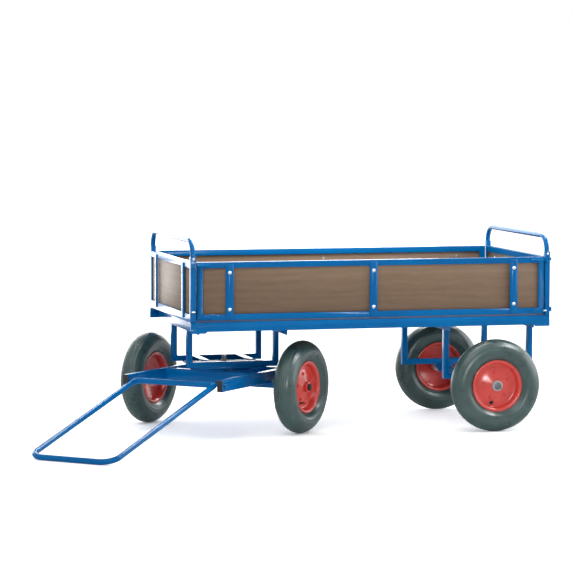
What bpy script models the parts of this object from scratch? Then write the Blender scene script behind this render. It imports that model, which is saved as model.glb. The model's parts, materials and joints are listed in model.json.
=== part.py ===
"""Turntable trolley: a four-wheel hand trolley with a steered front axle, built piece by piece.

X points forward, to the drawbar end. Y points left. Z points up, and the floor is at zero.
The trolley stands as it was parked: the front axle turned left and the drawbar's loop on the floor.
"""

import math

import bmesh
import bpy
from mathutils import Vector

# Driving dimensions, in metres. Deck and load space.
DECK_LENGTH = 1.600
DECK_WIDTH = 0.800
FRAME_BOTTOM = 0.459  # lower edge of the deck's angle frame above the floor
ANGLE_HEIGHT = 0.040
ANGLE_WALL = 0.004
BOARD_THICK = 0.008
BOARD_INSET = 0.003  # from the side angles' outer faces to the deck board's edge
GUSSET_LENGTH = 0.072
GUSSET_DROP = 0.007
GUSSET_PROUD = 0.0005
PANEL_HEIGHT = 0.245
PANEL_THICK = 0.022
PANEL_RAIL = 0.025
PANEL_WEB = 0.004
PLY_THICK = 0.009
PANEL_PLAY = 0.005  # play between a side panel and the corner posts
STRAP_WIDTH = 0.034
STRAP_THICK = 0.006
STRAP_SINK = 0.001  # how far a welded strap goes into the rails' face
SIDE_STRAP_PITCH = 0.633
END_STRAP_Y = 0.262
STRAP_TOP_GAP = 0.008
POST_RISE = 0.023  # how far the corner posts stand above the panels
HOOP_TUBE = 0.022
HOOP_RISE = 0.090  # middle of the hoop's top bar above the panels
HOOP_BEND = 0.065

# Lugs on the side panels' rails, and the catch plates and upper eyes on the corner posts.
LUG_LENGTH = 0.062
LUG_HEIGHT = 0.014
LUG_THICK = 0.005
CATCH_WIDTH = 0.018
CATCH_HEIGHT = 0.038
EYE_HEIGHT = 0.012
EYE_PROUD = 0.005

# Supports and running gear.
BOX = 0.025  # square tube of the leg frames
INNER_CROSS_HEIGHT = 0.057  # cross-members over the legs nearer the deck's middle
OUTER_CROSS_HEIGHT = 0.049
SUPPORT_LENGTH = 0.408
FRONT_SUPPORT_Y = 0.148
REAR_SUPPORT_Y = 0.298
REAR_RAIL_TOP = 0.2474
KINGPIN_X = 0.557
REAR_AXLE_X = -0.552
FLAT_WIDTH = 0.030
FLAT_THICK = 0.005
FLAT_PITCH = 0.200
WHEEL_RADIUS = 0.200
FRONT_TRACK = 0.760
REAR_TRACK = 0.800
TYRE_WIDTH = 0.101
RIM_RADIUS = 0.1124  # over the flanges
RIM_WIDTH = 0.0684
RIM_SHEET = 0.0022
BEAD_SEAT_RADIUS = 0.1035
BARREL_RADIUS = 0.0975
DISC_STEP_RADIUS = 0.048
DISC_DISH = 0.0075
DISC_RISE = 0.024  # how far out the disc's cone has risen where it meets the hub
HUB_LENGTH = 0.075
HUB_RADIUS = 0.022
AXLE_BAR = 0.025
AXLE_RADIUS = 0.010
COLLAR_RADIUS = 0.016
BAR_END_PLAY = 0.015  # from the tyre's flank to the end of the square bar
SADDLE_TOP = 0.090
SADDLE_FOOT = 0.044

# Turntable and steered frame.
STEER_ANGLE = 46.9  # degrees to the left, as parked
TURNTABLE_RADIUS = 0.150
TABLE_PLATE = 0.006
RACE_HEIGHT = 0.005
RACE_OUTER = 0.146
RACE_INNER = 0.116
RACE_PLAY = 0.0008
TOP_PLATE_LENGTH = 0.300
MEMBER_HEIGHT = 0.050
MEMBER_WIDTH = 0.025
MEMBER_WALL = 0.0025
MEMBER_OUTER_Y = 0.2425
MEMBER_FRONT = 0.4465
TIE_X = 0.127
KINGPIN_RADIUS = 0.010
KINGPIN_TOP = 0.318
NUT_WIDTH = 0.030
NUT_HEIGHT = 0.016
PLUG_DEPTH = 0.012
PLUG_FLANGE = 0.004

# Drawbar.
BAR_TUBE = 0.025
HINGE_X = 0.4265
BAR_REACH = 0.8555  # hinge to the middle of the loop's end
BAR_BEND = 0.060
BAR_HINGE_BEND = 0.016
BAR_SIDE_PLAY = 0.011
BAR_FLOOR_PLAY = 0.0005
HINGE_PIN_RADIUS = 0.006
HINGE_PIN_PLAY = 0.001
HINGE_HEAD_RADIUS = 0.009
HINGE_HEAD = 0.004

# Clearances and facets.
GAP = 0.0003  # between pieces that touch
PIN_PLAY = 0.0007
EDGE = 0.0025  # rounded edge of a tube or angle
WHEEL_STEPS = 30
CROWN_POINTS = 8
FLANK_ARC = 112.0  # degrees from the crown to the end of the flank
PIN_STEPS = 16
BEND_STEPS = 6

# Where the deck's middle stands, so that the origin is under the middle of the whole trolley.
DECK_MIDDLE = (-0.3685, -0.2922)

# Heights and places that follow from the driving dimensions.
frame_top = FRAME_BOTTOM + ANGLE_HEIGHT
deck_top = frame_top + GAP + BOARD_THICK
panel_bottom = deck_top + GAP
panel_top = panel_bottom + PANEL_HEIGHT
cross_top = frame_top - ANGLE_WALL - GAP
leg_top = cross_top - ANGLE_WALL - GAP
post_x = DECK_LENGTH / 2 - PANEL_THICK / 2
side_length = DECK_LENGTH - 2 * PANEL_THICK - 2 * PANEL_PLAY
side_y = DECK_WIDTH / 2 - PANEL_THICK / 2
axle_top = WHEEL_RADIUS + AXLE_BAR / 2
member_bottom = axle_top + GAP
member_top = member_bottom + MEMBER_HEIGHT
member_y = MEMBER_OUTER_Y - MEMBER_WIDTH / 2
hinge_z = member_bottom + MEMBER_HEIGHT / 2
lower_plate_bottom = member_top + GAP
race_top = lower_plate_bottom + TABLE_PLATE + RACE_HEIGHT
upper_plate_bottom = race_top + RACE_PLAY
upper_plate_top = upper_plate_bottom + TABLE_PLATE
front_rail_top = upper_plate_top + GAP + BOX
bar_drop = math.asin((hinge_z - BAR_TUBE / 2 - BAR_FLOOR_PLAY) / BAR_REACH)
tyre_middle = WHEEL_RADIUS - TYRE_WIDTH / 2

# Colours as the paint shows them, in linear light.
BLUE = (0.0, 0.115, 0.370, 1.0)
RED = (0.560, 0.045, 0.030, 1.0)
PLY_BROWN = (0.155, 0.085, 0.055, 1.0)
RUBBER_GREY = (0.060, 0.075, 0.075, 1.0)
STEEL_GREY = (0.450, 0.470, 0.480, 1.0)
PLUG_BLACK = (0.020, 0.022, 0.024, 1.0)

FINISHES = {
    "paint": (BLUE, 0.30, 0.0),
    "rim_paint": (RED, 0.35, 0.0),
    "ply": (PLY_BROWN, 0.45, 0.0),
    "rubber": (RUBBER_GREY, 0.70, 0.0),
    "steel": (STEEL_GREY, 0.35, 1.0),
    "plastic": (PLUG_BLACK, 0.50, 0.0),
}


def clear_scene():
    for old in list(bpy.data.objects):
        bpy.data.objects.remove(old, do_unlink=True)


def new_collection(name):
    made = bpy.data.collections.new(name)
    bpy.context.scene.collection.children.link(made)
    return made


clear_scene()
PIECES = new_collection("turntable_trolley")
CUTTERS = new_collection("cutters")


def body_frame(name, parent, place, turn=(0.0, 0.0, 0.0)):
    """An empty on a joint's axis, which carries the pieces of one moving body."""
    empty = bpy.data.objects.new(name, None)
    PIECES.objects.link(empty)
    empty.parent = parent
    empty.location = place
    empty.rotation_euler = turn
    return empty


def material_for(name, finish):
    colour, roughness, metallic = FINISHES[finish]
    made = bpy.data.materials.new(f"{name}_{finish}")
    made.use_nodes = True
    shader = made.node_tree.nodes["Principled BSDF"]
    shader.inputs["Base Color"].default_value = colour
    shader.inputs["Roughness"].default_value = roughness
    shader.inputs["Metallic"].default_value = metallic
    made.diffuse_color = colour
    return made


def add_piece(name, data, body, finish, place=(0.0, 0.0, 0.0), turn=(0.0, 0.0, 0.0)):
    piece = bpy.data.objects.new(name, data)
    PIECES.objects.link(piece)
    piece.parent = body
    piece.location = place
    piece.rotation_euler = turn
    data.materials.append(material_for(name, finish))
    return piece


def make_cutter(piece):
    """Turns a piece into a hidden helper for Boolean cuts and joins."""
    PIECES.objects.unlink(piece)
    CUTTERS.objects.link(piece)
    piece.hide_render = True
    piece.display_type = "WIRE"
    return piece


def box_mesh(name, low, high):
    mesh = bpy.data.meshes.new(name)
    shape = bmesh.new()
    bmesh.ops.create_cube(shape, size=1.0)
    size = Vector(high) - Vector(low)
    middle = (Vector(high) + Vector(low)) / 2
    bmesh.ops.scale(shape, vec=size, verts=shape.verts)
    bmesh.ops.translate(shape, vec=middle, verts=shape.verts)
    shape.to_mesh(mesh)
    shape.free()
    return mesh


def round_edges(piece, width, segments=1):
    """Rounds the sharp edges of a rolled or welded steel section."""
    bevel = piece.modifiers.new("rounded_edges", "BEVEL")
    bevel.width = width
    bevel.segments = segments
    bevel.limit_method = "ANGLE"
    bevel.angle_limit = math.radians(40)
    return piece


def block(name, body, finish, low, high):
    return add_piece(name, box_mesh(name, low, high), body, finish)


def boolean(piece, helper, operation):
    change = piece.modifiers.new(f"{operation.lower()}_{helper.name}", "BOOLEAN")
    change.operation = operation
    change.solver = "EXACT"
    change.object = make_cutter(helper)


def cut(piece, helper):
    boolean(piece, helper, "DIFFERENCE")


def join(piece, helper):
    boolean(piece, helper, "UNION")


def shade_round(piece, sharp_angle=35.0):
    piece.data.shade_smooth()
    piece.data.set_sharp_from_angle(angle=math.radians(sharp_angle))
    return piece


def prism(name, body, finish, outlines, depth, place, turn):
    """A flat outline, with its holes, given a thickness across its own plane."""
    curve = bpy.data.curves.new(name, "CURVE")
    curve.dimensions = "2D"
    curve.fill_mode = "BOTH"
    curve.extrude = depth / 2
    for outline in outlines:
        spline = curve.splines.new("POLY")
        spline.points.add(len(outline) - 1)
        for point, (x, y) in zip(spline.points, outline):
            point.co = (x, y, 0.0, 1.0)
        spline.use_cyclic_u = True
    piece = add_piece(name, curve, body, finish, place, turn)
    return as_mesh(piece, body)


def as_mesh(piece, body):
    """Replaces a curve object by its welded mesh, in the same place."""
    bpy.context.view_layer.update()
    graph = bpy.context.evaluated_depsgraph_get()
    mesh = bpy.data.meshes.new_from_object(piece.evaluated_get(graph))
    shape = bmesh.new()
    shape.from_mesh(mesh)
    bmesh.ops.remove_doubles(shape, verts=shape.verts, dist=1e-5)
    shape.to_mesh(mesh)
    shape.free()
    name = piece.name
    world = piece.matrix_world.copy()
    bpy.data.objects.remove(piece, do_unlink=True)
    made = bpy.data.objects.new(name, mesh)
    PIECES.objects.link(made)
    made.parent = body
    made.matrix_world = world
    return made


def rounded_path(corners, radius, cyclic):
    """The corners' polyline with each corner bent to the radius given for it."""
    count = len(corners)
    path = []
    for i, corner in enumerate(corners):
        here = Vector(corner)
        if not cyclic and i in (0, count - 1):
            path.append(here)
            continue
        before = (Vector(corners[i - 1]) - here).normalized()
        after = (Vector(corners[(i + 1) % count]) - here).normalized()
        bend = radius[i] if isinstance(radius, (list, tuple)) else radius
        half = before.angle(after) / 2
        reach = bend / math.tan(half)
        middle = here + (before + after).normalized() * (bend / math.sin(half))
        start = here + before * reach - middle
        end = here + after * reach - middle
        sweep = start.angle(end)
        for step in range(BEND_STEPS + 1):
            t = step / BEND_STEPS
            turned = start * math.sin((1 - t) * sweep) + end * math.sin(t * sweep)
            path.append(middle + turned / math.sin(sweep))
    return path


def tube(name, body, finish, corners, radius, bend, cyclic=False, place=(0.0, 0.0, 0.0)):
    curve = bpy.data.curves.new(name, "CURVE")
    curve.dimensions = "3D"
    curve.bevel_depth = radius
    curve.bevel_resolution = 3
    curve.use_fill_caps = not cyclic
    path = rounded_path(corners, bend, cyclic)
    spline = curve.splines.new("POLY")
    spline.points.add(len(path) - 1)
    for point, co in zip(spline.points, path):
        point.co = (co.x, co.y, co.z, 1.0)
    spline.use_cyclic_u = cyclic
    piece = add_piece(name, curve, body, finish, place)
    return shade_round(as_mesh(piece, body), 50.0)


def turned(name, body, finish, profile, steps, closed, place=(0.0, 0.0, 0.0), along_y=True):
    """A turned shape. The profile holds (radius, height) points and runs down the outer side.

    With along_y the turning axis lies along the body's Y, and heights count towards +Y.
    """
    mesh = bpy.data.meshes.new(name)
    shape = bmesh.new()
    points = [shape.verts.new((radius, 0.0, height)) for radius, height in profile]
    ring = points + points[:1] if closed else points
    for first, second in zip(ring, ring[1:]):
        shape.edges.new((first, second))
    shape.to_mesh(mesh)
    shape.free()
    turn = (-math.pi / 2, 0.0, 0.0) if along_y else (0.0, 0.0, 0.0)
    piece = add_piece(name, mesh, body, finish, place, turn)
    screw = piece.modifiers.new("turning", "SCREW")
    screw.axis = "Z"
    screw.angle = 2 * math.pi
    screw.steps = steps
    screw.render_steps = steps
    screw.use_merge_vertices = True
    screw.merge_threshold = 1e-5
    screw.use_smooth_shade = True
    return piece


def hexagon(name, body, finish, width, low, high):
    """A hexagonal nut or head, as wide across its flats as given, about the vertical axis."""
    mesh = bpy.data.meshes.new(name)
    shape = bmesh.new()
    radius = width / math.sqrt(3)
    bmesh.ops.create_cone(
        shape, cap_ends=True, segments=6, radius1=radius, radius2=radius, depth=high - low
    )
    bmesh.ops.translate(shape, vec=(0.0, 0.0, (low + high) / 2), verts=shape.verts)
    shape.to_mesh(mesh)
    shape.free()
    return add_piece(name, mesh, body, finish)


def rod_profile(steps):
    """A stepped rod as a turned profile, from (radius, lower end, upper end) stretches in order."""
    stretches = list(reversed(steps))
    profile = [(0.0, stretches[0][2])]
    for radius, low, high in stretches:
        profile.append((radius, high))
        profile.append((radius, low))
    profile.append((0.0, stretches[-1][1]))
    return profile


def rounded_rectangle(width, height, radius, segments=2):
    outline = []
    for quarter in range(4):
        sign_x = (1, -1, -1, 1)[quarter]
        sign_y = (1, 1, -1, -1)[quarter]
        middle = (sign_x * (width / 2 - radius), sign_y * (height / 2 - radius))
        for step in range(segments + 1):
            angle = math.pi / 2 * (quarter + step / segments)
            outline.append(
                (middle[0] + radius * math.cos(angle), middle[1] + radius * math.sin(angle))
            )
    return outline


# Turns that stand a flat outline up: its own X and Y become the two body directions named.
AS_XZ = (math.pi / 2, 0.0, 0.0)
AS_YZ = (math.pi / 2, 0.0, math.pi / 2)


def side_angle(label, body, side):
    """One of the two long angles under the deck, flange on top, with a drop plate at each end."""
    outer = DECK_WIDTH / 2
    outline = [
        (outer, FRAME_BOTTOM),
        (outer, frame_top),
        (outer - ANGLE_HEIGHT, frame_top),
        (outer - ANGLE_HEIGHT, frame_top - ANGLE_WALL),
        (outer - ANGLE_WALL, frame_top - ANGLE_WALL),
        (outer - ANGLE_WALL, FRAME_BOTTOM),
    ]
    outline = [(side * y, z) for y, z in outline]
    name = f"side_angle_{label}"
    angle = prism(name, body, "paint", [outline], DECK_LENGTH, (0.0, 0.0, 0.0), AS_YZ)
    for end in (-1, 1):
        join(angle, drop_plate(f"{name}_plate_{end}", body, end, side))
    return angle


def drop_plate(name, body, end, side):
    """The plate welded over an angle's end, a little lower than it, with its inner corner cut."""
    stop = DECK_LENGTH / 2 + GUSSET_PROUD
    low = FRAME_BOTTOM - GUSSET_DROP
    outline = [
        (stop, low),
        (stop, FRAME_BOTTOM + ANGLE_HEIGHT / 2),
        (stop - GUSSET_LENGTH, FRAME_BOTTOM + ANGLE_HEIGHT / 2),
        (stop - GUSSET_LENGTH, FRAME_BOTTOM),
        (stop - GUSSET_LENGTH + GUSSET_DROP, low),
    ]
    outline = [(end * x, z) for x, z in outline]
    thick = ANGLE_WALL + 2 * GUSSET_PROUD
    place = (0.0, side * (DECK_WIDTH / 2 - ANGLE_WALL / 2), 0.0)
    return prism(name, body, "paint", [outline], thick, place, AS_XZ)


def deck_board(body):
    """The deck's board, which lies on the angles between the two end frames."""
    half_x = DECK_LENGTH / 2 - PANEL_THICK - GAP
    half_y = DECK_WIDTH / 2 - BOARD_INSET
    low = (-half_x, -half_y, frame_top + GAP)
    return block("deck_board", body, "ply", low, (half_x, half_y, deck_top))


def cross_member(name, body, x, height):
    """An angle across the deck: its flange lies over a pair of legs, its web hangs before them."""
    length = DECK_WIDTH - 2 * (ANGLE_WALL + GUSSET_PROUD + GAP)
    front = BOX / 2 + GAP + ANGLE_WALL
    outline = [
        (-BOX / 2, 0.0),
        (-BOX / 2, -ANGLE_WALL),
        (front - ANGLE_WALL, -ANGLE_WALL),
        (front - ANGLE_WALL, -height),
        (front, -height),
        (front, 0.0),
    ]
    return prism(name, body, "paint", [outline], length, (x, 0.0, cross_top), AS_XZ)


def leg_frame(name, body, middle_x, y, rail_top):
    """Two legs and the rail between them, one square tube mitred at the corners."""
    half = SUPPORT_LENGTH / 2
    rail_bottom = rail_top - BOX
    outline = [
        (-half, leg_top),
        (-half, rail_bottom),
        (half, rail_bottom),
        (half, leg_top),
        (half - BOX, leg_top),
        (half - BOX, rail_top),
        (-half + BOX, rail_top),
        (-half + BOX, leg_top),
    ]
    piece = prism(name, body, "paint", [outline], BOX, (middle_x, y, 0.0), AS_XZ)
    return round_edges(piece, EDGE)


def leg_x(middle_x, end):
    """Middle of the front (end 1) or rear (end -1) leg of a support."""
    return middle_x + end * (SUPPORT_LENGTH - BOX) / 2


def panel_frame(name, body, length, strap_places, place, turn, post_rise=0.0, foot=0.0):
    """A board's frame: a channel ring with a slot for the board, and straps over its outer face.

    It is made lying along X, its outer face towards -Y, and then placed and turned. An end frame
    also has its posts' raised tops, and its lower rail reaches a foot's height further down.
    """
    half_l = length / 2
    half_h = PANEL_HEIGHT / 2
    half_t = PANEL_THICK / 2
    ring = add_piece(
        name,
        box_mesh(name, (-half_l, -half_t, -half_h - foot), (half_l, half_t, half_h)),
        body,
        "paint",
        place,
        turn,
    )
    slot = PLY_THICK / 2 + GAP
    helpers = [
        (
            "window",
            (-half_l + PANEL_RAIL, -PANEL_THICK, -half_h + PANEL_RAIL),
            (half_l - PANEL_RAIL, PANEL_THICK, half_h - PANEL_RAIL),
        ),
        (
            "slot",
            (-half_l + PANEL_WEB, -slot, -half_h + PANEL_WEB),
            (half_l - PANEL_WEB, slot, half_h - PANEL_WEB),
        ),
    ]
    for label, low, high in helpers:
        cut(ring, placed_box(f"{name}_{label}", body, low, high, place, turn))
    for i, x in enumerate(strap_places):
        low = (x - STRAP_WIDTH / 2, -half_t - STRAP_THICK + STRAP_SINK, -half_h + PANEL_WEB)
        high = (x + STRAP_WIDTH / 2, -half_t + STRAP_SINK, half_h - STRAP_TOP_GAP)
        join(ring, placed_box(f"{name}_strap_{i + 1}", body, low, high, place, turn))
    if post_rise:
        for end in (-1, 1):
            low = (end * half_l, -half_t, half_h - PANEL_WEB / 2)
            high = (end * (half_l - PANEL_RAIL), half_t, half_h + post_rise)
            join(ring, placed_box(f"{name}_post_{end}", body, low, high, place, turn))
            for label, base, height in (
                ("catch", -half_h - foot, CATCH_HEIGHT),
                ("eye", half_h - PANEL_RAIL, EYE_HEIGHT),
            ):
                low = (end * (half_l + EYE_PROUD), -CATCH_WIDTH / 2, base + GAP)
                high = (end * (half_l - STRAP_SINK), CATCH_WIDTH / 2, base + height)
                helper = placed_box(f"{name}_{label}_{end}", body, low, high, place, turn)
                join(ring, helper)
    return ring


def placed_box(name, body, low, high, place, turn):
    ordered_low = [min(pair) for pair in zip(low, high)]
    ordered_high = [max(pair) for pair in zip(low, high)]
    return add_piece(name, box_mesh(name, ordered_low, ordered_high), body, "paint", place, turn)


def panel_board(name, body, length, place, turn):
    half_l = length / 2 - PANEL_WEB - GAP
    half_h = PANEL_HEIGHT / 2 - PANEL_WEB - GAP
    half_t = PLY_THICK / 2
    mesh = box_mesh(name, (-half_l, -half_t, -half_h), (half_l, half_t, half_h))
    return add_piece(name, mesh, body, "ply", place, turn)


def side_panel(label, body, side):
    """A side panel, lifted out upwards: frame with three straps and four lugs, and its board."""
    place = (0.0, side * side_y, (panel_bottom + panel_top) / 2)
    turn = (0.0, 0.0, math.pi if side > 0 else 0.0)
    straps = (-SIDE_STRAP_PITCH, 0.0, SIDE_STRAP_PITCH)
    frame = panel_frame(f"side_frame_{label}", body, side_length, straps, place, turn)
    middle = (PANEL_HEIGHT - PANEL_RAIL) / 2
    face = -PANEL_THICK / 2
    for end in (-1, 1):
        for level in (-1, 1):
            stop = end * (side_length / 2 - GUSSET_PROUD)
            low = (stop, face - LUG_THICK, level * middle - LUG_HEIGHT / 2)
            high = (stop - end * LUG_LENGTH, face + STRAP_SINK, level * middle + LUG_HEIGHT / 2)
            join(frame, placed_box(f"lug_{label}_{end}_{level}", body, low, high, place, turn))
    panel_board(f"side_board_{label}", body, side_length, place, turn)


def end_panel(label, body, end):
    """A fixed end panel with raised corner posts, its board and the hoop handle on top."""
    place = (end * post_x, 0.0, (panel_bottom + panel_top) / 2)
    turn = (0.0, 0.0, end * math.pi / 2)
    straps = (-END_STRAP_Y, END_STRAP_Y)
    foot = panel_bottom - frame_top - GAP
    panel_frame(f"end_frame_{label}", body, DECK_WIDTH, straps, place, turn, POST_RISE, foot)
    panel_board(f"end_board_{label}", body, DECK_WIDTH, place, turn)
    leg_y = DECK_WIDTH / 2 - PANEL_RAIL / 2
    foot = panel_top + POST_RISE + GAP
    top = panel_top + HOOP_RISE
    corners = [
        (0.0, -leg_y, foot),
        (0.0, -leg_y, top),
        (0.0, leg_y, top),
        (0.0, leg_y, foot),
    ]
    tube(
        f"hoop_{label}",
        body,
        "paint",
        corners,
        HOOP_TUBE / 2,
        HOOP_BEND,
        place=(end * post_x, 0.0, 0.0),
    )


def front_support(body):
    """Two leg frames, the flats that tie them, the top plate of the turntable and the kingpin."""
    for label, side in (("left", 1), ("right", -1)):
        leg_frame(
            f"front_support_{label}", body, KINGPIN_X, side * FRONT_SUPPORT_Y, front_rail_top
        )
    inner = FRONT_SUPPORT_Y - BOX / 2 - GAP
    for label, end in (("front", 1), ("rear", -1)):
        x = KINGPIN_X + end * FLAT_PITCH / 2
        block(
            f"tie_flat_{label}",
            body,
            "paint",
            (x - FLAT_WIDTH / 2, -inner, front_rail_top - FLAT_THICK),
            (x + FLAT_WIDTH / 2, inner, front_rail_top),
        )
    outer = FRONT_SUPPORT_Y + BOX / 2
    plate = block(
        "turntable_top_plate",
        body,
        "paint",
        (KINGPIN_X - TOP_PLATE_LENGTH / 2, -outer, upper_plate_bottom),
        (KINGPIN_X + TOP_PLATE_LENGTH / 2, outer, upper_plate_top),
    )
    hole = rod_profile([(KINGPIN_RADIUS + GAP, 0.0, FRAME_BOTTOM)])
    cut(
        plate,
        turned("top_plate_hole", body, "paint", hole, PIN_STEPS, False, (KINGPIN_X, 0, 0), False),
    )
    kingpin(body)


def kingpin(body):
    """The bolt that the front axle turns on: head below the turntable, nut on its top plate."""
    head_top = lower_plate_bottom - PIN_PLAY
    place = (KINGPIN_X, 0.0, 0.0)
    shank = rod_profile([(KINGPIN_RADIUS, head_top - NUT_HEIGHT / 2, KINGPIN_TOP)])
    pin = turned("kingpin", body, "steel", shank, PIN_STEPS, False, place, False)
    nut_low = upper_plate_top + GAP
    for label, low, high in (
        ("nut", nut_low, nut_low + NUT_HEIGHT),
        ("head", head_top - NUT_HEIGHT, head_top),
    ):
        part = hexagon(f"kingpin_{label}", body, "steel", NUT_WIDTH, low, high)
        part.location = place
        join(pin, part)


def axle_profile(track, bar_half):
    """Round ends of an axle: collar, journal in the hub, and the washer that keeps the wheel on."""
    hub_in = track / 2 - HUB_LENGTH / 2 - PIN_PLAY
    hub_out = track / 2 + HUB_LENGTH / 2 + PIN_PLAY
    washer = COLLAR_RADIUS / 4
    right = [
        (COLLAR_RADIUS, hub_out, hub_out + washer),
        (AXLE_RADIUS, hub_in, hub_out),
        (COLLAR_RADIUS, bar_half - COLLAR_RADIUS, hub_in),
    ]
    left = [(radius, -high, -low) for radius, low, high in right]
    core = [(AXLE_RADIUS, -bar_half + COLLAR_RADIUS, bar_half - COLLAR_RADIUS)]
    return rod_profile(left + core + right[::-1])


def axle(name, body, track, place):
    """A square axle bar with round journals at its ends, along the body's Y."""
    bar_half = track / 2 - TYRE_WIDTH / 2 - BAR_END_PLAY
    half = AXLE_BAR / 2
    bar = add_piece(
        name,
        box_mesh(name, (-half, -bar_half, -half), (half, bar_half, half)),
        body,
        "paint",
        place,
    )
    ends = turned(
        f"{name}_ends", body, "paint", axle_profile(track, bar_half), PIN_STEPS, False, place
    )
    join(bar, ends)
    return bar


def rear_support(body):
    """Two leg frames, and the axle with the tapered saddle plate that hangs it from each rail."""
    for label, side in (("left", 1), ("right", -1)):
        leg_frame(
            f"rear_support_{label}", body, REAR_AXLE_X, side * REAR_SUPPORT_Y, REAR_RAIL_TOP
        )
    bar = axle("rear_axle", body, REAR_TRACK, (REAR_AXLE_X, 0.0, WHEEL_RADIUS))
    top = REAR_RAIL_TOP - BOX - GAP
    foot = WHEEL_RADIUS - AXLE_BAR / 2 - EDGE
    outline = [
        (-SADDLE_TOP / 2, top),
        (-SADDLE_FOOT / 2, foot),
        (SADDLE_FOOT / 2, foot),
        (SADDLE_TOP / 2, top),
    ]
    for label, side in (("left", 1), ("right", -1)):
        place = (REAR_AXLE_X, side * REAR_SUPPORT_Y, 0.0)
        saddle = prism(f"saddle_{label}", body, "paint", [outline], BOX, place, AS_XZ)
        join(bar, saddle)


def steered_frame(body):
    """The frame below the turntable, in its own directions: X along the drawbar, Y the axle."""
    tie_half = member_y - MEMBER_WIDTH / 2 - GAP
    for label, side in (("left", 1), ("right", -1)):
        y = side * member_y
        outline = rounded_rectangle(MEMBER_WIDTH, MEMBER_HEIGHT, EDGE)
        back = -TIE_X - MEMBER_WIDTH / 2
        middle = ((MEMBER_FRONT + back) / 2, y, hinge_z)
        member = prism(
            f"steering_member_{label}",
            body,
            "paint",
            [outline],
            MEMBER_FRONT - back,
            middle,
            AS_YZ,
        )
        inner_half = (MEMBER_WIDTH / 2 - MEMBER_WALL, MEMBER_HEIGHT / 2 - MEMBER_WALL)
        inside = block(
            f"member_inside_{label}",
            body,
            "paint",
            (back - MEMBER_WIDTH, y - inner_half[0], hinge_z - inner_half[1]),
            (MEMBER_FRONT + MEMBER_WIDTH, y + inner_half[0], hinge_z + inner_half[1]),
        )
        cut(member, inside)
        bore = rod_profile([(HINGE_PIN_RADIUS + GAP, y - MEMBER_WIDTH, y + MEMBER_WIDTH)])
        cut(
            member,
            turned(f"bore_{label}", body, "paint", bore, PIN_STEPS, False, (HINGE_X, 0, hinge_z)),
        )
        member_plug(label, body, y)
    for label, end in (("front", 1), ("rear", -1)):
        outline = rounded_rectangle(MEMBER_WIDTH, MEMBER_HEIGHT, EDGE)
        prism(
            f"steering_tie_{label}",
            body,
            "paint",
            [outline],
            2 * tie_half,
            (end * TIE_X, 0.0, hinge_z),
            AS_XZ,
        )
    axle("front_axle", body, FRONT_TRACK, (0.0, 0.0, WHEEL_RADIUS))
    lower_plate(body)
    hinge_pin(body)


def member_plug(label, body, y):
    """A plastic plug in the open front end of a member, with a flange as large as the tube."""
    inner_w = MEMBER_WIDTH / 2 - MEMBER_WALL - GAP
    inner_h = MEMBER_HEIGHT / 2 - MEMBER_WALL - GAP
    name = f"end_plug_{label}"
    flange = block(
        name,
        body,
        "plastic",
        (MEMBER_FRONT + GAP, y - MEMBER_WIDTH / 2, hinge_z - MEMBER_HEIGHT / 2),
        (MEMBER_FRONT + PLUG_FLANGE, y + MEMBER_WIDTH / 2, hinge_z + MEMBER_HEIGHT / 2),
    )
    stem_back = max(MEMBER_FRONT - PLUG_DEPTH, HINGE_X + HINGE_PIN_RADIUS + HINGE_PIN_PLAY)
    stem = block(
        f"{name}_stem",
        body,
        "plastic",
        (stem_back, y - inner_w, hinge_z - inner_h),
        (MEMBER_FRONT + PLUG_FLANGE / 2, y + inner_w, hinge_z + inner_h),
    )
    join(flange, stem)


def lower_plate(body):
    """The turntable's lower plate with the raised race that the top plate rides on."""
    bottom = lower_plate_bottom
    top = bottom + TABLE_PLATE
    hole = KINGPIN_RADIUS + PIN_PLAY
    profile = [
        (hole, top),
        (RACE_INNER, top),
        (RACE_INNER, race_top),
        (RACE_OUTER, race_top),
        (RACE_OUTER, top),
        (TURNTABLE_RADIUS, top),
        (TURNTABLE_RADIUS, bottom),
        (hole, bottom),
    ]
    return turned(
        "turntable_lower_plate", body, "paint", profile, WHEEL_STEPS, True, along_y=False
    )


def hinge_pin(body):
    """The drawbar's pivot rod, through both members, with a head outside each."""
    outside = MEMBER_OUTER_Y + GAP
    heads = [
        (HINGE_HEAD_RADIUS, -outside - HINGE_HEAD, -outside),
        (HINGE_PIN_RADIUS, -outside, outside),
        (HINGE_HEAD_RADIUS, outside, outside + HINGE_HEAD),
    ]
    return turned(
        "drawbar_pivot", body, "paint", rod_profile(heads), PIN_STEPS, False, (HINGE_X, 0, hinge_z)
    )


def drawbar(body):
    """The hoop of round tube: hinge tube, two arms and the pulling loop, all in one plane."""
    half = MEMBER_OUTER_Y - MEMBER_WIDTH - BAR_SIDE_PLAY - BAR_TUBE / 2
    corners = [
        (0.0, half, 0.0),
        (BAR_REACH, half, 0.0),
        (BAR_REACH, -half, 0.0),
        (0.0, -half, 0.0),
    ]
    bends = [BAR_HINGE_BEND, BAR_BEND, BAR_BEND, BAR_HINGE_BEND]
    hoop = tube("drawbar", body, "paint", corners, BAR_TUBE / 2, bends, cyclic=True)
    bore = rod_profile([(HINGE_PIN_RADIUS + PIN_PLAY, -DECK_WIDTH / 2, DECK_WIDTH / 2)])
    cut(hoop, turned("drawbar_bore", body, "paint", bore, PIN_STEPS, False))
    return hoop


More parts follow.
